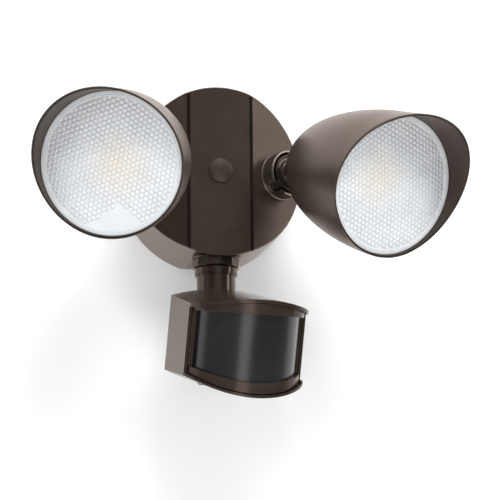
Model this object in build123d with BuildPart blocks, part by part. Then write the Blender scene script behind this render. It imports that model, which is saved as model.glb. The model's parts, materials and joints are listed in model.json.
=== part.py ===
from build123d import *
from math import cos, pi, radians, sin, sqrt, tan
import os

# Motion sensor security light for a wall. Millimetres, +Z up, the wall is the plane Y = 0 and the light
# reaches out along -Y. The origin is the centre of the canopy's back, on the wall.

# ---- canopy ----
canopy_radius = 70.0
canopy_depth = 67.6  # wall to the middle of the centre band
canopy_wall = 2.4
band_half_width = 25.8  # centre band, between the two grooves
band_crown = 0.9  # how much the band bulges
wing_angle = 21.8  # slope of the two wings
groove_width = 2.4
groove_depth = 1.5
rim_chamfer = 0.7
pad_half_width = 20.0  # flat under the canopy that the sensor neck is screwed to
lip_depth = 1.4  # front lip that the flat leaves standing
gasket_thickness = 2.0
gasket_width = 7.0
gasket_inset = 0.6

# ---- mounting hardware ----
bar_thickness = 1.6
bar_width = 18.0
bar_length = 104.0
slot_spacing = 86.0  # middle of the slots, for box screws 83 to 89 mm apart
slot_length = 14.0
slot_width = 4.6
ground_hole_radius = 1.7
ground_offset = 20.0
bolt_radius = 2.4
bolt_head_radius = 4.6
bolt_head_height = 3.2
bolt_seat_depth = 8.0  # head seat behind the band's face
boss_radius = 8.5
boss_length = 20.0
cap_radius = 10.0
cap_height = 3.6
cap_stem_radius = 5.4
cap_stem_length = 3.6
washer_thickness = 0.8

# ---- driver ----
driver_width = 44.0
driver_height = 32.0
driver_depth = 22.0
driver_rib_width = 7.0
driver_rib_spacing = 28.0
driver_rib_height = 4.6
driver_low_edge = 16.0
driver_flange = 5.0
driver_flange_thickness = 2.0
driver_screw_radius = 1.25

# ---- ports and socket cups ----
port_inset = 18.0  # canopy's edge to the middle of a port
port_offset = canopy_radius - port_inset
cup_radius = 18.8
cup_lip_radius = 19.4
cup_lip_height = 1.6
cup_height = 15.0
cup_wall = 1.8
cup_floor = 3.0
cup_tail_radius = 9.0
cup_tail_length = 12.0
notch_angle = 44.0  # from straight down towards the middle of the canopy
notch_width = 14.4
notch_floor = 1.8
cup_nut_flats = 26.0
cup_nut_height = 5.0

# ---- swivel arms ----
running_gap = 0.3
flange_radius = 15.3
flange_height = 16.0  # face of the flange above the wing
flange_edge = 1.4
dish_depth = 1.6
neck_radius = 7.6
neck_flare = 4.0
tail_radius = 6.2
wire_radius = 3.6
retainer_flats = 19.0
retainer_height = 4.5
ball_radius = 12.5
pivot_reach = 44.3  # wing to the ball's centre

# ---- lamp heads ----
lens_plane = 110.8  # ball centre to the lowest part of the shell's rim
shell_radius = 56.6
shell_wall = 1.8
bell_end_radius = 12.1
bell_overhang = 4.0  # the bell's end behind the ball's centre
bell_power = 1.79
hood_low = 0.3  # rim over the lens plane, at the bottom, the sides and the brow
hood_side = 6.3
hood_brow = 30.9
hood_taper = 0.06
collar_radius = 16.0
seat_radius = ball_radius + running_gap
collar_front = 9.0
collar_flange_radius = 20.5
collar_flange_height = 2.4
bearing_front = 0.5
bearing_radius = 22.0
clamp_back = 3.2
lens_front = 108.0
lens_thickness = 4.0
lens_ring_width = 4.2
lens_ring_height = 0.9
lens_crown = 2.6
lens_gap = 0.3
seal_thickness = 2.0
ledge_width = 3.6
ledge_height = 2.4
reflector_wall = 1.2
reflector_throat = 13.0
reflector_rim = 6.0  # shell's inner wall to the reflector's mouth
reflector_mouth = shell_radius - shell_wall - reflector_rim
reflector_belly = 13.4  # depth of the reflector's middle in front of its throat
sink_front = 68.0  # ball centre to the plate under the LED board
led_board_radius = 20.0
led_board_thickness = 1.6
emitter_size = 15.0
emitter_height = 1.0
sink_rim = 5.0  # plate outside the screws' circle
sink_thickness = 4.0
fin_count = 10
fin_length = 20.0
fin_inner_radius = 12.0
fin_gap = 2.0  # between the fins and the posts
fin_thickness = 2.0
post_radius = 3.0
post_foot = 27.0  # ball centre to where the posts leave the bell's wall
post_skin = 0.3  # bell left outside the posts
screw_radius = 1.5
screw_head_radius = 2.8
screw_head_height = 2.0
screw_gap = 0.05
screw_grip = 12.0
screw_run_out = 5.0  # hole past the screw's end

# how each head stands in the photograph, in degrees from hanging straight out of its port
head_poses = {"right": (1, 2.9, 21.0, 20.3), "left": (-1, 6.8, 18.0, 23.1)}  # side, pan, tilt, spin

# ---- sensor neck ----
neck_inset = 22.1  # front of the centre band to the neck's axis
neck_offset = canopy_depth - neck_inset
neck_gasket_radius = 19.4
neck_gasket_thickness = 2.6
lock_nut_radius = 19.3
lock_nut_height = 6.8
lock_nut_sides = 12
neck_ring_radius = 17.4
neck_ring_height = 6.2
stem_radius = 15.7
stem_tail_radius = 10.5
stem_bore_radius = 6.0
neck_nut_flats = 32.0
neck_nut_height = 5.0
sensor_drop = 113.5  # canopy axis to the sensor's pivot
sensor_pan = 7.9
sensor_tilt = 16.8

# ---- sensor ----
sensor_width = 96.4
sensor_back_width = sensor_width - 6.8
sensor_back = 16.2  # pivot to the housing's back
sensor_side_length = 57.3
sensor_bulge = 36.0
sensor_top = 12.6  # side edge of the top over the pivot, and the crown over that
sensor_top_crown = 8.6
sensor_bottom = 44.0
sensor_bottom_crown = 10.5
sensor_wall = 2.4
sensor_top_wall = 3.0
fit_gap = 0.1
side_gap = 0.5
frame_inset = sensor_wall + side_gap
frame_wall = 3.6
frame_start = 2.0  # nose's curve begins this far behind the ends of the side walls
frame_bulge = 40.2
frame_tail = 6.0  # how far the frame and the window run on behind those ends
window_tail = 6.5
post_proud = 0.3  # flat posts beside the window, in front of those ends
ear_thickness = 4.5
ear_radius = 12.5
wire_hole_drop = 22.0
pivot_screw_radius = 2.0
pivot_head_radius = 4.2
pivot_head_height = 2.6
pivot_nut_height = 3.0
window_top_drop = 5.6  # window edge under the housing's side edge, at the posts
window_top_crown = 2.6
window_bottom_rise = 9.0
window_bottom_crown = 8.0
window_thickness = 1.8
window_lap = 2.4
cover_thickness = 2.2
cover_gap = 0.7
cover_lip = 0.5
standoff_radius = 3.0
board_side_gap = 19.2  # side of the sensor to the edge of the board
board_half_width = sensor_width / 2 - board_side_gap
standoff_side = board_half_width - 4.0
board_level = -34.0
board_thickness = 1.6
board_back = 30.0
board_front = 62.0
detector_half_width = 16.0
detector_height = 26.0
detector_radius = 4.6
detector_length = 4.2
dial_radius = 5.2
dial_gap = 0.35
dial_spacing = 21.0
dial_offset = 46.0
dial_proud = 0.2
dial_height = 5.0
dial_stem_radius = 1.6
cover_screw_side = 13.0
cover_screw_back = 24.0
cover_screw_radius = 1.4
cover_boss_radius = 3.2
cover_rim_height = 3.0
rim_width = 1.3
cover_screw_grip = 10.0

# ---- places worked out from the sizes ----
wing_slope = tan(radians(wing_angle))
pad_z = -sqrt(canopy_radius**2 - pad_half_width**2)
port_depth = canopy_depth - band_crown - wing_slope * (port_offset - band_half_width)
lip_start = canopy_depth - band_crown - lip_depth
bolt_seat = canopy_depth - bolt_seat_depth
driver_face = canopy_depth - canopy_wall - driver_rib_height
driver_middle = driver_low_edge + driver_height / 2
tab_offset = (driver_height + driver_flange) / 2
driver_screw_spots = [
    (x * driver_rib_spacing / 2, driver_middle + z * tab_offset) for x in (-1, 1) for z in (-1, 1)
]
neck_plane = Plane(origin=(0, -neck_offset, pad_z), x_dir=(1, 0, 0), z_dir=(0, 0, -1))
port_planes = {
    name: Plane(
        origin=(side * port_offset, -port_depth, 0),
        x_dir=(cos(radians(wing_angle)), side * sin(radians(wing_angle)), 0),
        z_dir=(side * sin(radians(wing_angle)), -cos(radians(wing_angle)), 0),
    )
    for name, (side, pan, tilt, spin) in head_poses.items()
}
sensor_plane = Plane(
    Location((0, -neck_offset, -sensor_drop)) * Rotation(0, 0, sensor_pan) * Rotation(sensor_tilt, 0, 0)
)
os.makedirs("parts", exist_ok=True)


def save(piece, label):
    piece.part.label = label
    export_step(piece.part, f"parts/{label}.step")


def radial_view(plane):
    """The plane through an axis: its X runs out from the axis, its Y along it."""
    return Plane(origin=plane.origin, x_dir=plane.x_dir, z_dir=-plane.y_dir)


def turned(plane, *outline):
    """A piece turned round a plane's axis, from the points of its half section."""
    with BuildPart() as piece:
        with BuildSketch(radial_view(plane)):
            with BuildLine():
                Polyline(*outline, close=True)
            make_face()
        revolve(axis=Axis(plane.origin, plane.z_dir))
    return piece


def nut(plane, size, bore, height, sides=6):
    """A nut standing on a plane, measured over its flats."""
    with BuildPart() as piece:
        with BuildSketch(plane):
            RegularPolygon(size / 2, sides, major_radius=False)
            Circle(bore, mode=Mode.SUBTRACT)
        extrude(amount=height)
    return piece


def screws(plane, spots, shank_radius, length, head_radius, head_height):
    """Round-headed screws that go down through a plane, one at each spot."""
    with BuildPart() as piece:
        with BuildSketch(plane):
            with Locations(*spots):
                Circle(head_radius)
        extrude(amount=head_height)
        with BuildSketch(plane):
            with Locations(*spots):
                Circle(shank_radius)
        extrude(amount=-length)
    return piece


# ---- canopy ----
def front_profile(inset):
    """Plan of the canopy's front, pulled in by a wall's thickness."""
    edge = canopy_depth - band_crown - inset
    wing_face = canopy_depth - band_crown - inset / cos(radians(wing_angle))
    bend = band_half_width - (edge - wing_face) / wing_slope
    reach = canopy_radius + 5
    wing_end = wing_face - wing_slope * (reach - band_half_width)
    with BuildLine() as outline:
        middle = ThreePointArc((-bend, -edge), (0, inset - canopy_depth), (bend, -edge))
        Polyline(middle @ 1, (reach, -wing_end), (reach, 0), (-reach, 0), (-reach, -wing_end), middle @ 0)
    return outline.line


def canopy_body(radius, inset, back, pad_height, pad_front):
    """The drum, cut by the front's shape and by the flat pad underneath."""
    with BuildPart() as body:
        with BuildSketch(Plane.XZ.offset(back)):
            Circle(radius)
        extrude(amount=canopy_depth)
        with BuildSketch(Plane.XY.offset(-radius)):
            make_face(front_profile(inset))
        extrude(amount=2 * radius, mode=Mode.INTERSECT)
        with BuildSketch(Plane.XZ):
            with Locations((0, pad_height - canopy_radius / 2)):
                Rectangle(2 * canopy_radius, canopy_radius)
        extrude(amount=pad_front, mode=Mode.SUBTRACT)
    return body.part


def is_front_rim(edge):
    middle = edge.center()
    far_out = middle.Y < -canopy_depth / 2 and abs(middle.Z) > pad_half_width
    return far_out and edge.length > canopy_radius / 2


with BuildPart() as canopy:
    add(canopy_body(canopy_radius, 0, gasket_thickness, pad_z, lip_start))
    curved = canopy.edges().filter_by(GeomType.LINE, reverse=True)
    rim = curved.filter_by(is_front_rim)
    chamfer(rim, length=rim_chamfer)
    hollow = canopy_body(canopy_radius - canopy_wall, canopy_wall, 0, pad_z + canopy_wall, canopy_depth)
    add(hollow, mode=Mode.SUBTRACT)
    with BuildSketch(Plane.XY.offset(-canopy_radius)):
        with Locations(*[(side * band_half_width, band_crown - canopy_depth) for side in (-1, 1)]):
            Rectangle(groove_width, 2 * groove_depth)
    extrude(amount=2 * canopy_radius, mode=Mode.SUBTRACT)
    with BuildSketch(Plane.XZ.offset(canopy_depth - boss_length)):
        Circle(boss_radius)
    extrude(amount=boss_length - canopy_wall / 2)
    with BuildSketch(Plane.XZ.offset(driver_face)):
        with Locations(*[(side * driver_rib_spacing / 2, driver_middle) for side in (-1, 1)]):
            Rectangle(driver_rib_width, driver_height + 2 * driver_flange)
    extrude(amount=driver_rib_height + canopy_wall / 2)
    with BuildSketch(Plane.XZ.offset(driver_face)):
        with Locations(*driver_screw_spots):
            Circle(driver_screw_radius + screw_gap)
    extrude(amount=driver_rib_height - 0.4, mode=Mode.SUBTRACT)
    with Locations(Plane.XZ.offset(canopy_depth)):
        CounterBoreHole(bolt_radius + running_gap, cap_stem_radius + 0.2, bolt_seat_depth)
    for port in port_planes.values():
        with Locations(port):
            Hole(cup_tail_radius + 0.2, depth=canopy_wall * 2)
    with Locations(neck_plane):
        Hole(stem_tail_radius + running_gap, depth=canopy_wall * 2)
save(canopy, "canopy_housing")

with BuildPart() as wall_gasket:
    with BuildSketch(Plane.XZ):
        Circle(canopy_radius - gasket_inset)
        Circle(canopy_radius - gasket_inset - gasket_width, mode=Mode.SUBTRACT)
        with Locations((0, pad_z + gasket_inset - gasket_width)):
            Rectangle(2 * canopy_radius, 2 * gasket_width, mode=Mode.SUBTRACT)
    extrude(amount=gasket_thickness)
save(wall_gasket, "wall_gasket")

with BuildPart() as centre_cap:
    with BuildSketch(Plane.XY):
        with BuildLine():
            dome = ThreePointArc(
                (0, -canopy_depth - cap_height),
                (cap_radius * 0.66, -canopy_depth - cap_height * 0.74),
                (cap_radius, -canopy_depth - cap_height * 0.3),
            )
            Polyline(
                dome @ 1,
                (cap_radius, -canopy_depth),
                (cap_stem_radius, -canopy_depth),
                (cap_stem_radius, -canopy_depth + cap_stem_length),
                (0, -canopy_depth + cap_stem_length),
                dome @ 0,
            )
        make_face()
    revolve(axis=Axis.Y)
save(centre_cap, "centre_cap")

# ---- mounting hardware ----
with BuildPart() as crossbar:
    with BuildSketch(Plane.XZ):
        SlotOverall(bar_length, bar_width)
        with Locations((-slot_spacing / 2, 0), (slot_spacing / 2, 0)):
            SlotOverall(slot_length, slot_width, mode=Mode.SUBTRACT)
        Circle(bolt_radius + screw_gap, mode=Mode.SUBTRACT)
        with Locations((ground_offset, 0)):
            Circle(ground_hole_radius, mode=Mode.SUBTRACT)
    extrude(amount=bar_thickness)
save(crossbar, "crossbar")

with BuildPart() as ground_screw:
    with BuildSketch(Plane.XZ.offset(bar_thickness)):
        with Locations((ground_offset, 0)):
            RegularPolygon(2 * ground_hole_radius, 6)
    extrude(amount=ground_hole_radius * 1.4)
    with BuildSketch(Plane.XZ.offset(bar_thickness)):
        with Locations((ground_offset, 0)):
            Circle(ground_hole_radius - screw_gap)
    extrude(amount=-bar_thickness)
save(ground_screw, "ground_screw")

with BuildPart() as bolt_washer:
    with BuildSketch(Plane.XZ.offset(bolt_seat)):
        Circle(cap_stem_radius)
        Circle(bolt_radius + screw_gap, mode=Mode.SUBTRACT)
    extrude(amount=washer_thickness)
save(bolt_washer, "bolt_washer")

with BuildPart() as centre_bolt:
    with BuildSketch(Plane.XZ.offset(bolt_seat + washer_thickness)):
        RegularPolygon(bolt_head_radius, 6)
    extrude(amount=bolt_head_height)
    with BuildSketch(Plane.XZ):
        Circle(bolt_radius)
    extrude(amount=bolt_seat + washer_thickness)
save(centre_bolt, "centre_bolt")

# ---- driver ----
with BuildPart() as driver_case:
    with BuildSketch(Plane.XZ.offset(driver_face - driver_depth)):
        with Locations((0, driver_middle)):
            RectangleRounded(driver_width, driver_height, 3)
    extrude(amount=driver_depth)
    with BuildSketch(Plane.XZ.offset(driver_face - driver_flange_thickness)):
        with Locations((0, driver_middle)):
            Rectangle(driver_rib_spacing + 2 * driver_flange, driver_height + 2 * driver_flange)
        with Locations(*driver_screw_spots):
            Circle(driver_screw_radius + screw_gap, mode=Mode.SUBTRACT)
    extrude(amount=driver_flange_thickness)
save(driver_case, "driver_case")

screw_plane = Plane(
    origin=(0, driver_flange_thickness - driver_face, 0), x_dir=(-1, 0, 0), z_dir=(0, 1, 0)
)
driver_screws = screws(
    screw_plane,
    [(-x, z) for x, z in driver_screw_spots],
    driver_screw_radius,
    driver_flange_thickness + driver_rib_height - 0.6,
    2 * driver_screw_radius,
    1.3 * driver_screw_radius,
)
save(driver_screws, "driver_screws")


# ---- swivels: socket cup, arm, ball socket ----
def socket_cup(port, side):
    """Notched cup on the wing, with a threaded tail through it."""
    wall_inner = cup_radius - cup_wall
    bore = tail_radius + running_gap
    cup = turned(
        port,
        (bore, -cup_tail_length),
        (cup_tail_radius, -cup_tail_length),
        (cup_tail_radius, 0),
        (cup_lip_radius, 0),
        (cup_lip_radius, cup_lip_height * 0.6),
        (cup_lip_radius - 0.5, cup_lip_height),
        (cup_radius, cup_lip_height),
        (cup_radius, cup_height - 0.7),
        (cup_radius - 0.5, cup_height),
        (wall_inner + 0.4, cup_height),
        (wall_inner, cup_height - 0.6),
        (wall_inner, cup_floor),
        (bore, cup_floor),
    )
    turn = Rotation(0, 0, -90 - side * notch_angle) * Rotation(0, 90, 0)
    notch = Plane(port.location * turn).offset(wall_inner - 0.5)
    bend_height = notch_floor + notch_width / 2
    with BuildPart() as notched:
        add(cup.part)
        with BuildSketch(notch):
            with Locations((-bend_height, 0)):
                Circle(notch_width / 2)
            with Locations((-bend_height - cup_height / 2, 0)):
                Rectangle(cup_height, notch_width)
        extrude(amount=cup_lip_radius - wall_inner + 1.5, mode=Mode.SUBTRACT)
    return notched


def swivel_arm(port):
    """Barrel in the cup, dished flange, flared neck and ball, bored for the wires."""
    seat = cup_floor + running_gap
    dish = flange_height - dish_depth
    bend = neck_flare * (1 - sqrt(0.5))
    tail_end = -cup_tail_length - running_gap - retainer_height
    with BuildPart() as arm:
        with BuildSketch(radial_view(port)):
            with BuildLine():
                low = Polyline(
                    (wire_radius, tail_end),
                    (tail_radius, tail_end),
                    (tail_radius, seat),
                    (flange_radius - 0.6, seat),
                    (flange_radius, seat + 0.6),
                    (flange_radius, flange_height - 0.5),
                    (flange_radius - 0.5, flange_height),
                    (flange_radius - flange_edge, flange_height),
                    (flange_radius - flange_edge - 0.6, dish),
                    (neck_radius + neck_flare, dish),
                )
                flare = ThreePointArc(
                    low @ 1, (neck_radius + bend, dish + bend), (neck_radius, dish + neck_flare)
                )
                ball_start = pivot_reach - sqrt(ball_radius**2 - neck_radius**2)
                shank = Line(flare @ 1, (neck_radius, ball_start))
                ball_end = pivot_reach + sqrt(ball_radius**2 - wire_radius**2)
                ball = ThreePointArc(shank @ 1, (ball_radius, pivot_reach), (wire_radius, ball_end))
                Line(ball @ 1, low @ 0)
            make_face()
        revolve(axis=Axis(port.origin, port.z_dir))
    return arm


def ball_socket(knuckle):
    """Collar round the ball, with the flange that the lamp shell turns on."""
    lip_radius = seat_radius * sin(radians(75))
    lip_back = -seat_radius * cos(radians(75))
    flange_back = bearing_front + running_gap
    flange_front = flange_back + collar_flange_height
    with BuildPart() as socket:
        with BuildSketch(radial_view(knuckle)):
            with BuildLine():
                middle = (seat_radius * sin(radians(82)), -seat_radius * cos(radians(82)))
                seat = ThreePointArc((lip_radius, lip_back), middle, (seat_radius, 0))
                Polyline(
                    seat @ 1,
                    (seat_radius + 0.4, 0.4),
                    (seat_radius + 0.4, collar_front),
                    (collar_radius, collar_front),
                    (collar_radius, flange_front),
                    (collar_flange_radius, flange_front),
                    (collar_flange_radius, flange_back),
                    (collar_radius, flange_back),
                    (collar_radius, 0.6 - bell_overhang),
                    (collar_radius - 0.6, -bell_overhang),
                    (lip_radius + 0.3, -bell_overhang),
                    seat @ 0,
                )
            make_face()
        revolve(axis=Axis(knuckle.origin, knuckle.z_dir))
    return socket


def clamp_ring(knuckle):
    """Threaded ring that presses the ball back into its seat."""
    back_radius = sqrt(seat_radius**2 - clamp_back**2)
    front_radius = sqrt(seat_radius**2 - collar_front**2)
    middle = (seat_radius * cos(radians(30)), seat_radius * sin(radians(30)))
    outer = seat_radius + 0.4 - screw_gap
    with BuildPart() as ring:
        with BuildSketch(radial_view(knuckle)):
            with BuildLine():
                seat = ThreePointArc((back_radius, clamp_back), middle, (front_radius, collar_front))
                Polyline(seat @ 1, (outer, collar_front), (outer, clamp_back), seat @ 0)
            make_face()
        revolve(axis=Axis(knuckle.origin, knuckle.z_dir))
    return ring


# ---- lamp heads ----
bell_steps = (0, 0.08, 0.2, 0.34, 0.48, 0.62, 0.74, 0.84, 0.91, 0.96)


def bell_point(step, inset):
    """A point of the bell's half section, from the lens plane (0) to the bell's end (1)."""
    rise = sqrt(1 - step**bell_power)
    radius = bell_end_radius - inset + (shell_radius - bell_end_radius) * rise
    return (radius, lens_plane - step * (lens_plane + bell_overhang - inset))


def bell_radius(height):
    """Outer radius of the bell at a height over the ball's centre."""
    return bell_point((lens_plane - height) / (lens_plane + bell_overhang), 0)[0]


post_circle = bell_radius(post_foot) - post_skin - post_radius
post_spots = [(post_circle * cos(radians(a)), post_circle * sin(radians(a))) for a in (90, 210, 330)]
sink_radius = post_circle + sink_rim
fin_outer_radius = post_circle - post_radius - fin_gap
post_top = sink_front - sink_thickness


def lamp_shell(head):
    """Bell with its eyebrow hood, the ledge for the lens and the posts for the heat sink."""
    hood_end = lens_plane + hood_brow + 3
    hood_radius = shell_radius + hood_taper * (hood_end - lens_plane)
    opening = collar_radius + running_gap
    inner = shell_radius - shell_wall
    ledge_front = lens_front - lens_thickness - seal_thickness - reflector_wall
    ledge_back = ledge_front - ledge_height
    inner_steps = [s for s in bell_steps if lens_plane * (1 - s) < ledge_back - 4]
    start_step = 0.11
    with BuildPart() as shell:
        with BuildSketch(radial_view(head)):
            with BuildLine():
                outside = Spline(*[bell_point(s, 0) for s in bell_steps + (0.992,)])
                inside = Spline(*[bell_point(s, shell_wall) for s in [start_step] + inner_steps])
                Polyline(
                    outside @ 0,
                    (hood_radius, hood_end),
                    (hood_radius - shell_wall, hood_end),
                    (inner, lens_plane),
                    (inner, ledge_front),
                    (inner - ledge_width, ledge_front),
                    (inner - ledge_width, ledge_back),
                    inside @ 0,
                )
                Polyline(
                    inside @ 1,
                    (bearing_radius, (inside @ 1).Y),
                    (bearing_radius, bearing_front),
                    (opening, bearing_front),
                    (opening, (outside @ 1).Y),
                    outside @ 1,
                )
            make_face()
        revolve(axis=Axis(head.origin, head.z_dir))
        side_view = Plane(origin=head.origin, x_dir=head.y_dir, z_dir=head.x_dir)
        with BuildSketch(side_view):
            with BuildLine():
                brow = Bezier(
                    (-shell_radius, lens_plane + hood_low),
                    (0, lens_plane + 2 * hood_side - (hood_low + hood_brow) / 2),
                    (shell_radius, lens_plane + hood_brow),
                )
                Polyline(
                    brow @ 1,
                    (shell_radius + 9, lens_plane + hood_brow),
                    (shell_radius + 9, hood_end + 9),
                    (-shell_radius - 9, hood_end + 9),
                    (-shell_radius - 9, lens_plane + hood_low),
                    brow @ 0,
                )
            make_face()
        extrude(amount=shell_radius + 9, both=True, mode=Mode.SUBTRACT)
        with BuildSketch(head.offset(post_foot)):
            with Locations(*post_spots):
                Circle(post_radius)
        extrude(amount=post_top - post_foot)
        with BuildSketch(head.offset(post_top - screw_grip - screw_run_out)):
            with Locations(*post_spots):
                Circle(screw_radius + screw_gap)
        extrude(amount=screw_grip + screw_run_out, mode=Mode.SUBTRACT)
    return shell


def dome_fall(reach, rise, x):
    """How far a dome that rises over a reach has fallen at a distance from its middle."""
    bend = (reach**2 + rise**2) / (2 * rise)
    return bend - sqrt(bend**2 - x**2)


def lamp_lens(head):
    """Domed cover of the lamp, with a flat raised ring at its edge."""
    edge = shell_radius - shell_wall - lens_gap
    ring = edge - lens_ring_width
    back = lens_front - lens_thickness
    field = lens_front - lens_ring_height
    middle = lens_crown - dome_fall(ring, lens_crown, ring / 2)
    with BuildPart() as lens:
        with BuildSketch(radial_view(head)):
            with BuildLine():
                front = ThreePointArc((0, field + lens_crown), (ring / 2, field + middle), (ring, field))
                Polyline(front @ 1, (ring, lens_front), (edge - 0.4, lens_front), (edge, lens_front - 0.4))
                Polyline((edge, lens_front - 0.4), (edge, back), (ring, back))
                hollow = ThreePointArc((ring, back), (ring / 2, back + middle), (0, back + lens_crown))
                Line(hollow @ 1, front @ 0)
            make_face()
        revolve(axis=Axis(head.origin, head.z_dir))
    return lens


def reflector(head):
    """Bowl from the emitter to the lens, hung on a flange between the ledge and the seal."""
    edge = shell_radius - shell_wall - lens_gap
    flange_front = lens_front - lens_thickness - seal_thickness
    flange_back = flange_front - reflector_wall
    throat = sink_front + led_board_thickness
    mouth = reflector_mouth
    belly = mouth * 0.68
    with BuildPart() as bowl:
        with BuildSketch(radial_view(head)):
            with BuildLine():
                inside = ThreePointArc(
                    (reflector_throat, throat), (belly, throat + reflector_belly), (mouth, flange_front)
                )
                Polyline(inside @ 1, (edge, flange_front), (edge, flange_back), (mouth + reflector_wall, flange_back))
                outside = ThreePointArc(
                    (mouth + reflector_wall, flange_back),
                    (belly + 0.75 * reflector_wall, throat + reflector_belly - 0.83 * reflector_wall),
                    (reflector_throat + reflector_wall, throat),
                )
                Line(outside @ 1, inside @ 0)
            make_face()
        revolve(axis=Axis(head.origin, head.z_dir))
    return bowl


def heat_sink(head):
    """Plate behind the emitter's board, with fins towards the back of the bell."""
    plate_back = sink_front - sink_thickness
    fin_middle = (fin_inner_radius + fin_outer_radius) / 2
    with BuildPart() as sink:
        with BuildSketch(head.offset(plate_back)):
            Circle(sink_radius)
            with Locations(*post_spots):
                Circle(screw_radius + screw_gap, mode=Mode.SUBTRACT)
        extrude(amount=sink_thickness)
        with BuildSketch(head.offset(plate_back)):
            with PolarLocations(fin_middle, fin_count):
                Rectangle(fin_outer_radius - fin_inner_radius, fin_thickness)
        extrude(amount=-fin_length)
    return sink


def disc(plane, radius, bore, thickness):
    with BuildPart() as piece:
        with BuildSketch(plane):
            Circle(radius)
            if bore:
                Circle(bore, mode=Mode.SUBTRACT)
        extrude(amount=thickness)
    return piece


def emitter(head):
    with BuildPart() as chip:
        with BuildSketch(head.offset(sink_front + led_board_thickness)):
            Rectangle(emitter_size, emitter_size)
        extrude(amount=emitter_height)
    return chip


lens_edge = shell_radius - shell_wall - lens_gap
seal_back = lens_front - lens_thickness - seal_thickness
for name, (side, pan, tilt, spin) in head_poses.items():
    port = port_planes[name]
    arm_plane = Plane(port.location * Rotation(0, 0, side * pan))
    knuckle = Plane(arm_plane.location * Location((0, 0, pivot_reach)) * Rotation(tilt, 0, 0))
    head = Plane(knuckle.location * Rotation(0, 0, -side * spin))
    save(socket_cup(port, side), f"{name}_socket_cup")
    cup_nut_plane = port.offset(-canopy_wall - cup_nut_height)
    save(nut(cup_nut_plane, cup_nut_flats, cup_tail_radius + screw_gap, cup_nut_height), f"{name}_cup_nut")
    save(swivel_arm(arm_plane), f"{name}_arm")
    retainer_plane = arm_plane.offset(-cup_tail_length - running_gap - retainer_height)
    retainer = nut(retainer_plane, retainer_flats, tail_radius + screw_gap, retainer_height)
    save(retainer, f"{name}_arm_retainer")
    save(ball_socket(knuckle), f"{name}_ball_socket")
    save(clamp_ring(knuckle), f"{name}_clamp_ring")
    save(lamp_shell(head), f"{name}_shell")
    save(lamp_lens(head), f"{name}_lens")
    seal = disc(head.offset(seal_back), lens_edge, lens_edge - lens_ring_width, seal_thickness)
    save(seal, f"{name}_lens_seal")
    save(reflector(head), f"{name}_reflector")
    board = disc(head.offset(sink_front), led_board_radius, 0, led_board_thickness)
    save(board, f"{name}_led_board")
    save(emitter(head), f"{name}_emitter")
    save(heat_sink(head), f"{name}_heat_sink")
    sink_screws = screws(
        head.offset(sink_front),
        post_spots,
        screw_radius,
        sink_thickness + screw_grip,
        screw_head_radius,
        screw_head_height,
    )
    save(sink_screws, f"{name}_sink_screws")

# ---- sensor neck ----
neck_gasket = disc(neck_plane, neck_gasket_radius, stem_tail_radius + running_gap, neck_gasket_thickness)
save(neck_gasket, "neck_gasket")

lock_nut = nut(
    neck_plane.offset(neck_gasket_thickness),
    2 * lock_nut_radius * cos(pi / lock_nut_sides),
    stem_tail_radius + running_gap,
    lock_nut_height,
    lock_nut_sides,
)
save(lock_nut, "lock_nut")

ring_top = neck_gasket_thickness + lock_nut_height + running_gap
ring_end = ring_top + neck_ring_height
stem_end = sensor_drop + pad_z
neck_nut_top = -canopy_wall - running_gap - neck_nut_height
ball_reach = sqrt(stem_radius**2 - stem_bore_radius**2)
with BuildPart() as sensor_neck:
    with BuildSketch(radial_view(neck_plane)):
        with BuildLine():
            outline = Polyline(
                (stem_bore_radius, neck_nut_top - 1),
                (stem_tail_radius, neck_nut_top - 1),
                (stem_tail_radius, ring_top),
                (neck_ring_radius - 0.6, ring_top),
                (neck_ring_radius, ring_top + 0.6),
                (neck_ring_radius, ring_end - 1.2),
                (neck_ring_radius - 0.5, ring_end - 1.2),
                (neck_ring_radius - 0.5, ring_end),
                (stem_radius, ring_end),
                (stem_radius, stem_end),
            )
            ball_middle = (stem_radius * cos(radians(35)), stem_end + stem_radius * sin(radians(35)))
            ball = ThreePointArc(outline @ 1, ball_middle, (stem_bore_radius, stem_end + ball_reach))
            Line(ball @ 1, outline @ 0)
        make_face()
    revolve(axis=Axis(neck_plane.origin, neck_plane.z_dir))
    with BuildSketch(Plane(origin=sensor_plane.origin, x_dir=sensor_plane.y_dir, z_dir=sensor_plane.x_dir)):
        Circle(pivot_screw_radius + running_gap)
    extrude(amount=stem_radius + 1, both=True, mode=Mode.SUBTRACT)
save(sensor_neck, "sensor_neck")

neck_nut = nut(
    neck_plane.offset(neck_nut_top), neck_nut_flats, stem_tail_radius + screw_gap, neck_nut_height
)
save(neck_nut, "neck_nut")

# ---- sensor ----
half_width = sensor_width / 2
wide = half_width + 3
side_end = sensor_back + sensor_side_length
front_plane = radial_view(sensor_plane)
side_plane = Plane(origin=sensor_plane.origin, x_dir=sensor_plane.y_dir, z_dir=sensor_plane.x_dir)
floor_edge = -sensor_bottom + cover_thickness + cover_gap
cover_top = -sensor_bottom + cover_thickness


def crown_height(edge, crown, x):
    """Height of a crowned face over a place between its two side edges."""
    bend = (half_width**2 + crown**2) / (2 * abs(crown))
    fall = bend - sqrt(bend**2 - x**2)
    return edge + crown - (fall if crown > 0 else -fall)


def crown_arc(edge, crown, reach):
    end = crown_height(edge, crown, reach)
    return ThreePointArc((-reach, end), (0, edge + crown), (reach, end))


def band(plane, reach, top, bottom):
    """The face between two crowned edges, each given by its side height and its crown."""
    with BuildSketch(plane) as face:
        with BuildLine():
            upper = crown_arc(*top, reach)
            lower = crown_arc(*bottom, reach)
            Line(upper @ 1, lower @ 1)
            Line(lower @ 0, upper @ 0)
        make_face()
    return face.sketch


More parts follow.
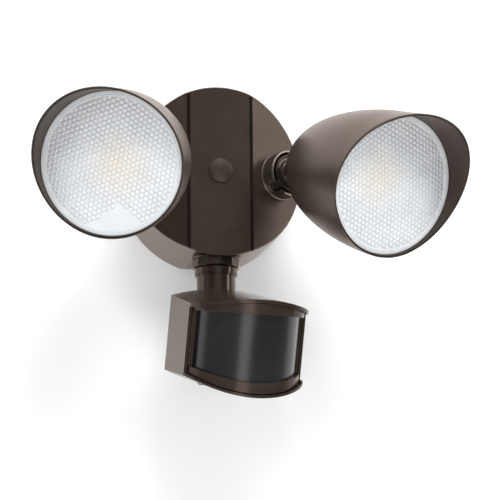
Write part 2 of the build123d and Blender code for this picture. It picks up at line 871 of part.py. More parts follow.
def sensor_block(inset, top, bottom, start=side_end, bulge=sensor_bulge):
    """The sensor's plan pulled in by an inset, between two crowned faces."""
    back_half = sensor_back_width / 2 - inset
    back = -sensor_back - inset
    with BuildPart() as block:
        with BuildSketch(sensor_plane.offset(-1.5 * sensor_width)):
            with BuildLine():
                reach = (half_width - inset, bulge - inset)
                nose = EllipticalCenterArc((0, -start), *reach, 180, arc_size=180)
                Polyline(nose @ 1, (back_half, back), (-back_half, back), nose @ 0)
            make_face()
        extrude(amount=3 * sensor_width)
        extrude(band(front_plane, wide, top, bottom), amount=2 * sensor_width, mode=Mode.INTERSECT)
    return block.part


top_face = (sensor_top, sensor_top_crown)
top_inside = (sensor_top - sensor_top_wall, sensor_top_crown)
floor_face = (floor_edge, -sensor_bottom_crown)
underside = (-sensor_bottom, -sensor_bottom_crown)
far_top = (sensor_top + 20, sensor_top_crown)
far_floor = (-sensor_bottom - 20, -sensor_bottom_crown)
cover_screw_spots = [(side * cover_screw_side, -cover_screw_back) for side in (-1, 1)]
boss_top = crown_height(*top_face, cover_screw_side) - sensor_top_wall / 2
boss_bottom = crown_height(cover_top, -sensor_bottom_crown, cover_screw_side) + 4 * fit_gap

with BuildPart() as sensor_housing:
    add(sensor_block(0, top_face, underside))
    add(sensor_block(sensor_wall, top_inside, far_floor), mode=Mode.SUBTRACT)
    front_cut = band(front_plane.offset(side_end), wide, top_inside, far_floor)
    extrude(front_cut, amount=sensor_width, mode=Mode.SUBTRACT)
    for ear_side in (-1, 1):
        with BuildSketch(side_plane.offset(ear_side * (stem_radius + running_gap))):
            Circle(ear_radius)
            with Locations((-(sensor_back + 1) / 2, 0)):
                Rectangle(sensor_back + 1, 2 * ear_radius)
            Circle(pivot_screw_radius + screw_gap, mode=Mode.SUBTRACT)
        extrude(amount=ear_side * ear_thickness)
    with BuildSketch(sensor_plane.offset(boss_bottom)):
        with Locations(*cover_screw_spots):
            Circle(cover_boss_radius)
    extrude(amount=boss_top - boss_bottom)
    with BuildSketch(sensor_plane.offset(boss_bottom)):
        with Locations(*cover_screw_spots):
            Circle(cover_screw_radius + screw_gap)
    extrude(amount=cover_screw_grip + 2, mode=Mode.SUBTRACT)
    with BuildSketch(front_plane.offset(sensor_back - 1)):
        with Locations((0, -wire_hole_drop)):
            Circle(wire_radius)
    extrude(amount=sensor_wall + 2, mode=Mode.SUBTRACT)
save(sensor_housing, "sensor_housing")

window_top = (sensor_top - window_top_drop, window_top_crown)
window_bottom = (-sensor_bottom + window_bottom_rise, -window_bottom_crown)
frame_centre = side_end - frame_start
with BuildPart() as sensor_frame:
    under_roof = (sensor_top - sensor_top_wall - fit_gap, sensor_top_crown)
    add(sensor_block(frame_inset, under_roof, floor_face, frame_centre, frame_bulge))
    inner = sensor_block(frame_inset + frame_wall, far_top, far_floor, frame_centre, frame_bulge)
    add(inner, mode=Mode.SUBTRACT)
    back_cut = band(front_plane, wide, far_top, far_floor)
    extrude(back_cut, amount=side_end - frame_tail, mode=Mode.SUBTRACT)
    opening = band(front_plane.offset(side_end + post_proud), wide, window_top, window_bottom)
    extrude(opening, amount=sensor_width, mode=Mode.SUBTRACT)
save(sensor_frame, "sensor_frame")

pane_top = (window_top[0] + window_lap, window_top_crown)
pane_bottom = (window_bottom[0] - window_lap, -window_bottom_crown)
pane_inset = frame_inset + frame_wall + fit_gap
with BuildPart() as sensor_window:
    add(sensor_block(pane_inset, pane_top, pane_bottom, frame_centre, frame_bulge))
    inner = sensor_block(pane_inset + window_thickness, far_top, far_floor, frame_centre, frame_bulge)
    add(inner, mode=Mode.SUBTRACT)
    extrude(back_cut, amount=side_end - window_tail, mode=Mode.SUBTRACT)
save(sensor_window, "sensor_window")

dial_spots = [(x * dial_spacing, -dial_offset) for x in (-1, 0, 1)]
standoff_spots = [(x * standoff_side, -y) for x in (-1, 1) for y in (board_back + 4, board_front - 4)]
cover_mid = (cover_top - cover_thickness / 2, -sensor_bottom_crown)
rim_top = (cover_top + cover_rim_height, -sensor_bottom_crown)
rim_inset = sensor_wall + 2 * running_gap
standoff_foot = crown_height(*cover_mid, standoff_side)
counterbore = crown_height(-sensor_bottom, -sensor_bottom_crown, cover_screw_side) + 4 * fit_gap
plate_top = (cover_top, -sensor_bottom_crown)
with BuildPart() as nose_plate:
    add(sensor_block(-cover_lip, plate_top, underside))
    extrude(back_cut, amount=side_end + side_gap, mode=Mode.SUBTRACT)
with BuildPart() as sensor_cover:
    add(sensor_block(rim_inset, rim_top, cover_mid))
    add(sensor_block(rim_inset + rim_width, far_top, far_floor), mode=Mode.SUBTRACT)
    rim_stop = band(front_plane.offset(side_end - frame_tail - running_gap), wide, far_top, far_floor)
    extrude(rim_stop, amount=sensor_width, mode=Mode.SUBTRACT)
    add(sensor_block(rim_inset, plate_top, underside))
    add(nose_plate.part)
    with BuildSketch(sensor_plane.offset(board_level)):
        with Locations(*standoff_spots):
            Circle(standoff_radius)
    extrude(amount=standoff_foot - board_level)
    with BuildSketch(sensor_plane.offset(board_level)):
        with Locations(*dial_spots):
            Circle(dial_radius + dial_gap)
        with Locations(*cover_screw_spots):
            Circle(cover_screw_radius + screw_gap)
    extrude(amount=-sensor_width / 2, mode=Mode.SUBTRACT)
    with BuildSketch(sensor_plane.offset(counterbore)):
        with Locations(*cover_screw_spots):
            Circle(2 * cover_screw_radius + 0.2)
    extrude(amount=-6, mode=Mode.SUBTRACT)
save(sensor_cover, "sensor_cover")

cover_plane = Plane(sensor_plane.offset(counterbore).location * Rotation(180, 0, 0))
cover_screws = screws(
    cover_plane,
    [(x, -y) for x, y in cover_screw_spots],
    cover_screw_radius,
    boss_bottom - counterbore + cover_screw_grip,
    2 * cover_screw_radius,
    cover_screw_radius,
)
save(cover_screws, "cover_screws")

with BuildPart() as control_board:
    with BuildSketch(sensor_plane.offset(board_level)):
        with Locations((0, -(board_back + board_front) / 2)):
            Rectangle(2 * board_half_width, board_front - board_back)
        with Locations(*dial_spots):
            Circle(dial_stem_radius + running_gap, mode=Mode.SUBTRACT)
    extrude(amount=board_thickness)
save(control_board, "control_board")

board_top = board_level + board_thickness
with BuildPart() as detector_board:
    with BuildSketch(front_plane.offset(board_front - board_thickness)):
        with Locations((0, board_top + detector_height / 2)):
            Rectangle(2 * detector_half_width, detector_height)
    extrude(amount=board_thickness)
save(detector_board, "detector_board")

detector_spot = (0, board_top + detector_height * 0.55)
with BuildPart() as motion_detector:
    with BuildSketch(front_plane.offset(board_front)):
        with Locations(detector_spot):
            Circle(detector_radius + 0.6)
    extrude(amount=0.6)
    with BuildSketch(front_plane.offset(board_front)):
        with Locations(detector_spot):
            Circle(detector_radius)
    extrude(amount=detector_length)
save(motion_detector, "motion_detector")

pivot_screw = screws(
    Plane(side_plane.location * Location((0, 0, stem_radius + running_gap + ear_thickness))),
    [(0, 0)],
    pivot_screw_radius,
    2 * (stem_radius + running_gap + ear_thickness) + pivot_nut_height + 0.6,
    pivot_head_radius,
    pivot_head_height,
)
save(pivot_screw, "pivot_screw")

pivot_nut = nut(
    side_plane.offset(-stem_radius - running_gap - ear_thickness - pivot_nut_height),
    4 * pivot_screw_radius,
    pivot_screw_radius + screw_gap,
    pivot_nut_height,
)
save(pivot_nut, "pivot_nut")

for name, (x, y) in zip(("time_dial", "range_dial", "dusk_dial"), dial_spots):
    face = crown_height(-sensor_bottom, -sensor_bottom_crown, x) - dial_proud
    head_level = board_top + running_gap
    with BuildPart() as dial:
        with BuildSketch(sensor_plane.offset(face)):
            with Locations((x, y)):
                Circle(dial_radius)
        extrude(amount=dial_height)
        with BuildSketch(sensor_plane.offset(face)):
            with Locations((x, y)):
                Circle(dial_stem_radius)
        extrude(amount=head_level + 1.2 - face)
        with BuildSketch(sensor_plane.offset(head_level)):
            with Locations((x, y)):
                Circle(dial_stem_radius + 1)
        extrude(amount=1.2)
        with BuildSketch(sensor_plane.offset(face)):
            with Locations((x, y)):
                Rectangle(1.6 * dial_radius, 1.3)
        extrude(amount=1.1, mode=Mode.SUBTRACT)
    save(dial, name)
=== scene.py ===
import json
import math
import bmesh
import bpy
from mathutils import Matrix, Vector


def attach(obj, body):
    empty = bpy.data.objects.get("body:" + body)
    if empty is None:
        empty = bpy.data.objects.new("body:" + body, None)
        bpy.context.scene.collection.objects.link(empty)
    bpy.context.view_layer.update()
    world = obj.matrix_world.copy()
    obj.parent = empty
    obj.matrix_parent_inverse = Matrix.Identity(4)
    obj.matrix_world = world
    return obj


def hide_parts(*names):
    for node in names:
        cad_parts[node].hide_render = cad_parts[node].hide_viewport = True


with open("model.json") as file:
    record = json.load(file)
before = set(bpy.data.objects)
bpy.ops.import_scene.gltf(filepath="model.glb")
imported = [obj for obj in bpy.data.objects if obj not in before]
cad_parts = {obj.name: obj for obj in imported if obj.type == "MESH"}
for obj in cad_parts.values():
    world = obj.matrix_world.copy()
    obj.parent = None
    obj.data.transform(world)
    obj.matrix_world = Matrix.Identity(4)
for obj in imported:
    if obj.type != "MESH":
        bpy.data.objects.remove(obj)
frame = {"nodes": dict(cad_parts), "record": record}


# The motion sensor security light, seen as in its photograph. Sizes in the dictionaries are in millimetres and
# degrees, in the CAD frame: the wall is Y = 0, the light reaches out along -Y, and Z is up.


def noteSize():
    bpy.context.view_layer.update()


noteSize()

millimetre = Matrix.Scale(0.001, 4)


def turn(axis, degrees):
    return Matrix.Rotation(math.radians(degrees), 4, axis)


def move(x, y, z):
    return Matrix.Translation((x, y, z))


view = {"around": -12.74, "up": -13.48, "roll": -0.60, "distance": 2156.0, "right": -38.18, "raise": 48.48,
        "focal": 2600.0, "frame": 500.0, "film": 36.0}


def placeCamera():
    around, up, roll = (math.radians(view[key]) for key in ("around", "up", "roll"))
    right = Vector((math.cos(around), math.sin(around), 0))
    back = Vector((math.sin(around) * math.cos(up), -math.cos(around) * math.cos(up), math.sin(up)))
    top = back.cross(right)
    tilt = Matrix.Rotation(roll, 3, back)
    right, top = tilt @ right, tilt @ top
    place = back * view["distance"] - right * view["right"] - top * view["raise"]
    camera = bpy.data.cameras.new("photoCamera")
    camera.sensor_width = view["film"]
    camera.lens = view["film"] * view["focal"] / view["frame"]
    camera.clip_end = 20
    eye = bpy.data.objects.new("photoCamera", camera)
    axes = Matrix((right, top, back)).transposed().to_4x4()
    eye.matrix_world = Matrix.Translation(place * 0.001) @ axes
    bpy.context.collection.objects.link(eye)
    bpy.context.scene.camera = eye


placeCamera()
print("camera placed")


class Wire:
    # one output socket, so that maths on a surface reads as plain Python

    def __init__(self, finish, socket):
        self.finish = finish
        self.socket = socket

    def maths(self, operation, *others):
        values = dict(enumerate((self, *others)))
        return self.finish.node("ShaderNodeMath", {"operation": operation}, values)

    def __add__(self, other):
        return self.maths("ADD", other)

    def __radd__(self, other):
        return self.maths("ADD", other)

    def __sub__(self, other):
        return self.maths("SUBTRACT", other)

    def __rsub__(self, other):
        return self.finish.number(other).maths("SUBTRACT", self)

    def __mul__(self, other):
        return self.maths("MULTIPLY", other)

    def __rmul__(self, other):
        return self.maths("MULTIPLY", other)

    def __pow__(self, other):
        return self.maths("POWER", other)

    def clipped(self):
        return self.finish.node("ShaderNodeMath", {"operation": "ADD", "use_clamp": True}, {0: self, 1: 0.0})

    def step(self, low, high):
        limits = {"Value": self, "From Min": low, "From Max": high}
        return self.finish.node("ShaderNodeMapRange", {"interpolation_type": "SMOOTHSTEP"}, limits)


class Finish:
    # a material under construction

    def __init__(self, name):
        self.material = bpy.data.materials.new(name)
        self.material.use_nodes = True
        self.tree = self.material.node_tree
        self.tree.nodes.clear()

    def node(self, kind, settings=None, values=None, output=0):
        item = self.tree.nodes.new(kind)
        for name, value in (settings or {}).items():
            setattr(item, name, value)
        for key, value in (values or {}).items():
            if isinstance(value, Wire):
                self.tree.links.new(value.socket, item.inputs[key])
            elif isinstance(value, tuple) and len(value) == 3 and item.inputs[key].type == "RGBA":
                item.inputs[key].default_value = (*value, 1)
            else:
                item.inputs[key].default_value = value
        return Wire(self, item.outputs[output] if item.outputs else None)

    def number(self, value):
        return self.node("ShaderNodeMath", {"operation": "ADD"}, {0: float(value), 1: 0.0})

    def place(self):
        return self.node("ShaderNodeTexCoord", output="Object")

    def along(self, axis):
        return self.node("ShaderNodeSeparateXYZ", values={"Vector": self.place()}, output=axis)

    def painted(self, name):
        # a number kept on the mesh's own vertices
        settings = {"attribute_type": "GEOMETRY", "attribute_name": name}
        return self.node("ShaderNodeAttribute", settings, output="Fac")

    def noise(self, scale, detail=2.0, rough=0.5):
        values = {"Vector": self.place(), "Scale": scale, "Detail": detail, "Roughness": rough}
        return self.node("ShaderNodeTexNoise", values=values)

    def blend(self, mask, low, high):
        # Mix has three sets of sockets: 6 and 7 are its colours, and output 2 is their mix
        return self.node("ShaderNodeMix", {"data_type": "RGBA"}, {0: mask, 6: low, 7: high}, 2)

    def bump(self, height, strength, distance):
        return self.node("ShaderNodeBump", values={"Height": height, "Strength": strength, "Distance": distance})

    def surface(self, **values):
        sockets = {name.replace("_", " "): value for name, value in values.items()}
        shader = self.node("ShaderNodeBsdfPrincipled", values=sockets)
        self.node("ShaderNodeOutputMaterial", values={"Surface": shader})
        return self.material


def linear(*parts):
    # an sRGB colour, 0 to 255, as the shaders want it
    return tuple(v / 255 / 12.92 if v <= 10 else ((v / 255 + 0.055) / 1.055) ** 2.4 for v in parts)


# scales of the coat's clouds, powder and specks, how much each does, and the height of its grain in metres; shade is
# the colour of the painted shade in the canopy's grooves and on the shells' rims, rimDark how far the rims go to it,
# and the last two are the radii over which the canopy's side wall turns to its painted light
coat = {"cloud": 38, "cloudFrom": 0.35, "cloudTo": 0.7, "powder": 2600, "powderRough": 0.6, "specks": 700,
        "speckPart": 0.6, "cloudRough": 0.06, "powderSheen": 0.10, "height": 0.00012, "tint": (1.0, 0.91, 0.84),
        "shade": (0.004, 0.003, 0.003), "rimDark": 0.75, "paintedLightFrom": 0.0690, "paintedLightTo": 0.0697}


def bronzePaint(name, dark, pale, rough, grain, metal=0.6, shade=None, gloss=0.5, side=None):
    # satin bronze: dark seen straight on, pale where light grazes it
    finish = Finish(name)
    cloud = finish.noise(coat["cloud"], 3)
    powder = finish.noise(coat["powder"], 2, coat["powderRough"])
    colour = finish.blend(cloud.step(coat["cloudFrom"], coat["cloudTo"]), dark, pale)
    # painted shade from a mask, here the canopy's grooves and the shells' rims
    if shade:
        colour = finish.blend(shade(finish), colour, coat["shade"])
    if side:
        # painted light: the canopy's side wall, found by its distance from the axis, is painted paler where grazing
        # light brightens it
        across, height = finish.along("X"), finish.along("Z")
        radius = (across * across + height * height) ** 0.5
        colour = finish.blend(radius.step(coat["paintedLightFrom"], coat["paintedLightTo"]), colour, side)
    roughness = rough + (cloud - 0.5) * coat["cloudRough"] + (powder - 0.5) * coat["powderSheen"]
    bump = finish.bump(powder + finish.noise(coat["specks"], 1) * coat["speckPart"], grain, coat["height"])
    return finish.surface(Base_Color=colour, Metallic=metal, Roughness=roughness, Specular_Tint=coat["tint"],
                          Specular_IOR_Level=gloss, Normal=bump)


# metres: the grooves' lines, how far their painted shade reaches from them, and the depth from which it starts
grooves = {"place": 0.0258, "shift": 0.0004, "half": 0.0010, "fade": 0.0005, "front": 0.0642, "start": 0.001,
           "dark": 0.9}


def grooveShade(finish):
    # painted shade: the two grooves of the canopy are painted darker along their length, where shade collects
    across, depth = finish.along("X"), finish.along("Y")
    toRight = (across - (grooves["place"] - grooves["shift"])).maths("ABSOLUTE")
    toLeft = (across + (grooves["place"] + grooves["shift"])).maths("ABSOLUTE")
    line = 1 - toRight.maths("MINIMUM", toLeft).step(grooves["half"], grooves["half"] + grooves["fade"])
    return line * (-1 * depth).step(grooves["front"], grooves["front"] + grooves["start"]) * grooves["dark"]


def rimShade(finish):
    # painted shade: the inner half of the rim round the mouth of a lamp shell is painted darker
    return finish.painted("rimShade") * coat["rimDark"]


# linear dark and pale tones, roughness, grain and metallic part of each bronze surface
bronzeCast = bronzePaint("bronzeCast", (0.072, 0.053, 0.043), (0.083, 0.063, 0.052), 0.37, 0.10, shade=rimShade)
# the canopy has painted shade in its grooves and painted light on its side wall, whose colour is given here
bronzeCanopy = bronzePaint("bronzeCanopy", (0.052, 0.037, 0.029), (0.062, 0.045, 0.035), 0.31, 0.10,
                           shade=grooveShade, side=(0.145, 0.120, 0.104))
bronzeCap = bronzePaint("bronzeCap", (0.058, 0.043, 0.033), (0.066, 0.049, 0.039), 0.50, 0.10)
bronzeSatin = bronzePaint("bronzeSatin", (0.042, 0.031, 0.024), (0.062, 0.047, 0.038), 0.15, 0.05, 0.7)
bronzeCup = bronzePaint("bronzeCup", (0.20, 0.172, 0.15), (0.30, 0.262, 0.232), 0.34, 0.20, 0.95)
bronzePlastic = bronzePaint("bronzePlastic", (0.042, 0.031, 0.025), (0.051, 0.038, 0.031), 0.20, 0.04, 0.42,
                            gloss=0.1)


def plain(name, colour, roughness, metal=0.0, scale=400, grain=0.05, spread=0.12):
    # one tone with a slight mottle in its colour, gloss and surface
    finish = Finish(name)
    mottle = finish.noise(scale, 3)
    darker = tuple(v * (1 - spread) for v in colour)
    bump = finish.bump(mottle, grain, 0.0001)
    shade = finish.blend(mottle.step(0.3, 0.7), darker, colour)
    roughness = roughness + (mottle - 0.5) * 0.1
    return finish.surface(Base_Color=shade, Metallic=metal, Roughness=roughness, Normal=bump)


# sRGB tones of the lens, and how far its painted grey edges and painted dark points go to theirs; warm is the tone
# of its painted glow in the middle, and glow the strength of a painted glow over all of it
prismLook = {"cool": (220, 222, 225), "bright": (229, 231, 234), "warm": (231, 224, 212), "edge": (142, 146, 152),
             "point": (64, 68, 72), "edgeLeast": 0.45, "edgeVaries": 0.8, "pointPower": 1.6, "glow": 0.055}


def lensFinish():
    # prismatic polycarbonate over a white bowl, with painted light and shade: each prism's edge is painted grey, a
    # dark point is painted where the rim of the bowl would show through it, a warm glow is painted in the middle
    # where the emitter lies behind, and the whole lens is given a faint painted glow
    finish = Finish("lensClear")
    cool, bright, warmTone, edgeTone, pointTone = (
        linear(*prismLook[key]) for key in ("cool", "bright", "warm", "edge", "point"))
    base = finish.blend(finish.noise(55, 2).step(0.3, 0.75), cool, bright)
    # painted glow: the middle of the lens turns warm
    warm = finish.blend(finish.painted("paintedGlow"), base, warmTone)
    uneven = prismLook["edgeLeast"] + finish.noise(420, 2) * prismLook["edgeVaries"]
    lined = finish.blend((finish.painted("prismEdge") * uneven).clipped(), warm, edgeTone)
    colour = finish.blend(finish.painted("prismPoint") ** prismLook["pointPower"], lined, pointTone)
    # painted glow: a faint emission brightens the whole lens
    return finish.surface(Base_Color=colour, Roughness=0.18, IOR=1.49, Coat_Weight=0.3, Coat_Roughness=0.06,
                          Emission_Color=colour, Emission_Strength=prismLook["glow"])


def windowFinish():
    # the sensor's dark window, nearly black and softly glossy
    finish = Finish("blackWindow")
    haze = finish.noise(30, 2)
    colour = finish.blend(haze.step(0.4, 0.7), (0.008, 0.008, 0.009), (0.012, 0.012, 0.013))
    return finish.surface(Base_Color=colour, Roughness=0.24 + (haze - 0.5) * 0.03, IOR=1.42)


finishes = {
    "bronze": bronzeCast,
    "bronze_plastic": bronzePlastic,
    "lens_clear": lensFinish(),
    "black_window": windowFinish(),
    "rubber_black": plain("rubberBlack", (0.02, 0.02, 0.02), 0.7, 0.0, 900, 0.3),
    "zinc_steel": plain("zincSteel", (0.55, 0.55, 0.52), 0.32, 1.0, 120, 0.05),
    "reflector_white": plain("reflectorWhite", (0.85, 0.85, 0.83), 0.25),
    "board_green": plain("boardGreen", (0.02, 0.12, 0.04), 0.35, 0.0, 220, 0.08, 0.3),
    "board_white": plain("boardWhite", (0.8, 0.8, 0.78), 0.4),
    "emitter_yellow": plain("emitterYellow", (0.9, 0.66, 0.16), 0.5, 0.0, 1500, 0.1, 0.2),
    "sink_alu": plain("sinkAluminium", (0.72, 0.72, 0.73), 0.38, 1.0, 700, 0.12),
    "driver_white": plain("driverWhite", (0.74, 0.74, 0.71), 0.5, 0.0, 500, 0.08),
    "dial_black": plain("dialBlack", (0.025, 0.025, 0.025), 0.42, 0.0, 900, 0.08),
    "detector_metal": plain("detectorMetal", (0.7, 0.66, 0.55), 0.2, 1.0, 90, 0.02),
}
# pieces whose bronze differs from the rest of their slot
nodeFinish = {"right_arm": bronzeSatin, "left_arm": bronzeSatin, "lock_nut": bronzeSatin, "sensor_neck": bronzeSatin,
              "neck_gasket": bronzeSatin, "right_socket_cup": bronzeCup, "left_socket_cup": bronzeCup,
              "canopy_housing": bronzeCanopy, "centre_cap": bronzeCap}
nodeSlots = {row["node"]: row["material_slot"] for row in frame["record"]["subparts"]}
bodyOfNode = {node: body for body, nodes in frame["record"]["behaviour"]["bodies"].items() for node in nodes}
for node, item in frame["nodes"].items():
    item.data.materials.clear()
    item.data.materials.append(finishes[nodeSlots[node]])
print("finishes made:", len(finishes))


# depth is at the crown of the centre band; border and near pick the points of its face
canopy = {"depth": 67.6, "crown": 0.9, "bandHalf": 25.8, "strip": 2.4, "border": 0.5, "near": 0.12}
swivel = {"angle": 21.8, "offset": 52.0, "reach": 44.3}
poses = {"right": (1, 2.9, 21.0, 20.3), "left": (-1, 6.8, 18.0, 23.1)}  # side, pan, tilt, spin


def portFrame(side):
    # the middle of a wing, with Z out of its slope
    angle = math.radians(swivel["angle"])
    drop = math.tan(angle) * (swivel["offset"] - canopy["bandHalf"])
    across = Vector((math.cos(angle), side * math.sin(angle), 0))
    out = Vector((side * math.sin(angle), -math.cos(angle), 0))
    axes = Matrix((across, out.cross(across), out)).transposed().to_4x4()
    return move(side * swivel["offset"], drop + canopy["crown"] - canopy["depth"], 0) @ axes


def headFrame(side, pan, tilt, spin):
    # the ball at the end of the arm, with Z along the lamp head
    arm = portFrame(side) @ turn("Z", side * pan)
    return arm @ move(0, 0, swivel["reach"]) @ turn("X", tilt) @ turn("Z", -side * spin)


weld = 0.001  # millimetres, for vertices that meet


def finishPiece(name, shape, node, sharp, place=None):
    # the piece stands for a CAD node: it takes its body, and its finish from the node's slot
    mesh = bpy.data.meshes.new(name)
    shape.to_mesh(mesh)
    shape.free()
    if place:
        mesh.transform(millimetre @ place)
    mesh.shade_smooth()
    mesh.set_sharp_from_angle(angle=math.radians(sharp))
    piece = bpy.data.objects.new(name, mesh)
    bpy.context.collection.objects.link(piece)
    mesh.materials.append(nodeFinish.get(node) or finishes[nodeSlots[node]])
    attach(piece, bodyOfNode[node])
    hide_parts(node)
    return piece


def spun(profile, steps, closed=True):
    # a half section of (radius, height) points, turned round the local Z axis
    shape = bmesh.new()
    points = [shape.verts.new((radius, 0, height)) for radius, height in profile]
    pairs = list(zip(points, points[1:])) + ([(points[-1], points[0])] if closed else [])
    edges = [shape.edges.new(pair) for pair in pairs]
    bmesh.ops.spin(shape, geom=points + edges, cent=(0, 0, 0), axis=(0, 0, 1), angle=2 * math.pi,
                   steps=steps, use_merge=True)
    return shape


def rounded(piece, width):
    # small rounds on the sharp edges, with the flats kept even
    soften = piece.modifiers.new("soften", "BEVEL")
    soften.width = width * 0.001
    soften.segments = 2
    soften.limit_method = "ANGLE"
    soften.angle_limit = math.radians(35)
    soften.use_clamp_overlap = True
    even = piece.modifiers.new("even", "WEIGHTED_NORMAL")
    even.keep_sharp = True


def crownedBand(shape):
    # the centre band bulges a little: cut it into narrow strips and put them on the true curve
    bend = (canopy["bandHalf"] ** 2 + canopy["crown"] ** 2) / (2 * canopy["crown"])
    count = int(canopy["bandHalf"] / canopy["strip"])
    for step in range(-count, count + 1):
        everything = list(shape.verts) + list(shape.edges) + list(shape.faces)
        bmesh.ops.bisect_plane(shape, geom=everything, dist=1e-7, plane_co=(step * canopy["strip"] * 0.001, 0, 0),
                               plane_no=(1, 0, 0))
    for vert in shape.verts:
        x = vert.co.x * 1000
        if abs(x) < canopy["bandHalf"] - canopy["border"]:
            depth = canopy["depth"] - (bend - math.sqrt(bend ** 2 - x ** 2))
            if abs(vert.co.y * 1000 + depth) < canopy["near"]:
                vert.co.y = -depth * 0.001


def refined(node, width, sharp):
    # the CAD piece's own shape, with its triangles joined, smooth curves and rounded edges
    shape = bmesh.new()
    shape.from_mesh(frame["nodes"][node].data)
    bmesh.ops.remove_doubles(shape, verts=shape.verts, dist=1e-6)
    bmesh.ops.dissolve_limit(shape, angle_limit=math.radians(0.4), verts=shape.verts, edges=shape.edges)
    if node == "canopy_housing":
        crownedBand(shape)
    piece = finishPiece(node + "Fine", shape, node, sharp)
    if width:
        rounded(piece, width)


# low, side and brow are the rim's heights over the lens plane; the seat holds the ball socket
bell = {"lensPlane": 110.8, "radius": 56.6, "wall": 1.8, "endRadius": 12.1, "overhang": 4.0, "power": 1.79,
        "low": 0.3, "side": 6.3, "brow": 30.9, "taper": 0.06, "edge": 0.45, "opening": 16.3, "bearing": 22.0,
        "seatFront": 2.3, "seatBack": 0.5, "ledge": 51.2, "ledgeBack": 98.4, "ledgeFront": 100.8, "ledgePart": 0.11,
        "steps": 192, "rings": 30, "innerRings": 24, "hoodRings": 8, "farPart": 0.992, "nearPart": 0.96}


def bellPoint(part, inset):
    # a point of the bell's curve, from the lens plane (0) to the back (1)
    rise = math.sqrt(max(0, 1 - part ** bell["power"]))
    radius = bell["endRadius"] - inset + (bell["radius"] - bell["endRadius"]) * rise
    return (radius, bell["lensPlane"] - part * (bell["lensPlane"] + bell["overhang"] - inset))


def browHeight(level):
    # rim over the lens plane, for a place between the bottom (-1) and the top (1)
    middle = (bell["low"] + bell["brow"]) / 2
    return bell["side"] + (bell["brow"] - bell["low"]) / 2 * level + (middle - bell["side"]) * level ** 2


def makeShell(name, place):
    base, wall, edge, outer = bell["lensPlane"], bell["wall"], bell["edge"], bell["radius"]
    inner, quarter = outer - wall, math.pi / 2
    turns = [math.cos(quarter * k / bell["rings"]) for k in range(bell["rings"] + 1)]
    outside = [bellPoint(bell["farPart"] * part, 0) for part in turns]
    turns = [math.sin(quarter * k / bell["innerRings"]) for k in range(bell["innerRings"] + 1)]
    inside = [bellPoint(bell["nearPart"] * part, wall) for part in turns]
    inside = [point for point in inside if point[1] < bell["ledgeBack"] - 1]
    # the hood is spun 1 mm high, then drawn out to the height of its curved rim
    hood = [k / bell["hoodRings"] for k in range(1, bell["hoodRings"] + 1)]
    top = base + 1 + edge
    profile = [(bell["opening"], outside[0][1])] + outside
    profile += [(outer, base + level) for level in hood]
    profile += [(outer - edge * 0.3, base + 1 + edge * 0.7), (outer - edge, top), (outer - wall / 2, top)]
    profile += [(inner + edge, top), (inner + edge * 0.3, base + 1 + edge * 0.7)]
    profile += [(inner, base + level) for level in reversed(hood)] + [(inner, base)]
    profile += [(inner, bell["ledgeFront"]), (bell["ledge"], bell["ledgeFront"]), (bell["ledge"], bell["ledgeBack"])]
    profile += [(bellPoint(bell["ledgePart"], wall)[0], bell["ledgeBack"])] + inside
    profile += [(bell["bearing"], bell["seatFront"]), (bell["bearing"], bell["seatBack"])]
    profile += [(bell["opening"], bell["seatBack"])]
    shape = spun(profile, bell["steps"])
    # painted shade: the rim's inner half is marked here, to be painted darker
    rim = shape.verts.layers.float.new("rimShade")
    for vert in shape.verts:
        over = vert.co.z - base
        if over > 1e-4:
            height = browHeight(vert.co.y / outer) - edge
            part = min(over, 1)
            inwards = math.hypot(vert.co.x, vert.co.y) < (inner + outer) / 2 + 0.3
            vert[rim] = 1.0 if over > 1.0001 and inwards else 0.0
            grow = 1 + bell["taper"] * part * height / outer
            vert.co = (vert.co.x * grow, vert.co.y * grow, base + part * height + max(0, over - 1))
    bmesh.ops.remove_doubles(shape, verts=shape.verts, dist=weld)
    bmesh.ops.recalc_face_normals(shape, faces=shape.faces)
    finishPiece(f"{name}LampShell", shape, f"{name}_shell", 40, place)


lens = {"edge": 54.5, "ring": 50.3, "back": 104.0, "field": 107.1, "front": 108.0, "crown": 2.6, "sunk": 0.12,
        "fieldRings": 12, "steps": 128, "ripple": 51.7, "groove": 0.3, "grooveDeep": 0.35, "step": 0.25,
        "smallRound": 0.15, "largeRound": 0.5}
prism = {"pitch": 3.9, "fill": 0.995, "foot": 0.4, "inset": 0.8, "peak": 0.46, "tip": 0.4, "border": 0.4,
         "edgeTone": 0.5, "edgeGain": 0.6}
# where the rim of the bowl is painted dark in the prisms (direction, start, fade), where the emitter's painted warm
# glow lies (place, size), and the corners of the smooth fan in the left lens
lensLooks = {
    "right": {"dark": (0.82, 0.57, 14.0, 30.0), "warm": (-15.6, -0.2, 25.0), "fan": None},
    "left": {"dark": (-0.96, 0.27, 16.0, 28.0), "warm": (6.0, -3.0, 28.0),
             "fan": ((-2.7, -28.9), (-35.8, -37.6), (5.6, -52.0))},
}
# the bowl's rim is painted as shade on the prisms
bowl = {"half": 48, "side": 20}  # the shade of the bowl's rim: half its width, and how softly its sides fade


def domeFall(radius):
    # how far the crowned field falls below its middle
    bend = (lens["ring"] ** 2 + lens["crown"] ** 2) / (2 * lens["crown"])
    return bend - math.sqrt(bend ** 2 - radius ** 2)


def inFan(corners, x, y):
    # between the two sides that run out from the apex
    if not corners:
        return False
    (ax, ay), *ends = corners
    turns = [(bx - ax) * (y - ay) - (by - ay) * (x - ax) for bx, by in ends]
    return turns[0] > 0 > turns[1]


def bowlShade(look, x, y):
    # 0 to 1: how strongly the dark rim of the bowl is painted on the prisms at a place on the lens, as painted shade
    ux, uy, start, fade = look["dark"]
    along, across = x * ux + y * uy, x * uy - y * ux
    part = min(max((along - start) / fade, 0), 1)
    return part * min(max((bowl["half"] - abs(across)) / bowl["side"], 0), 1)


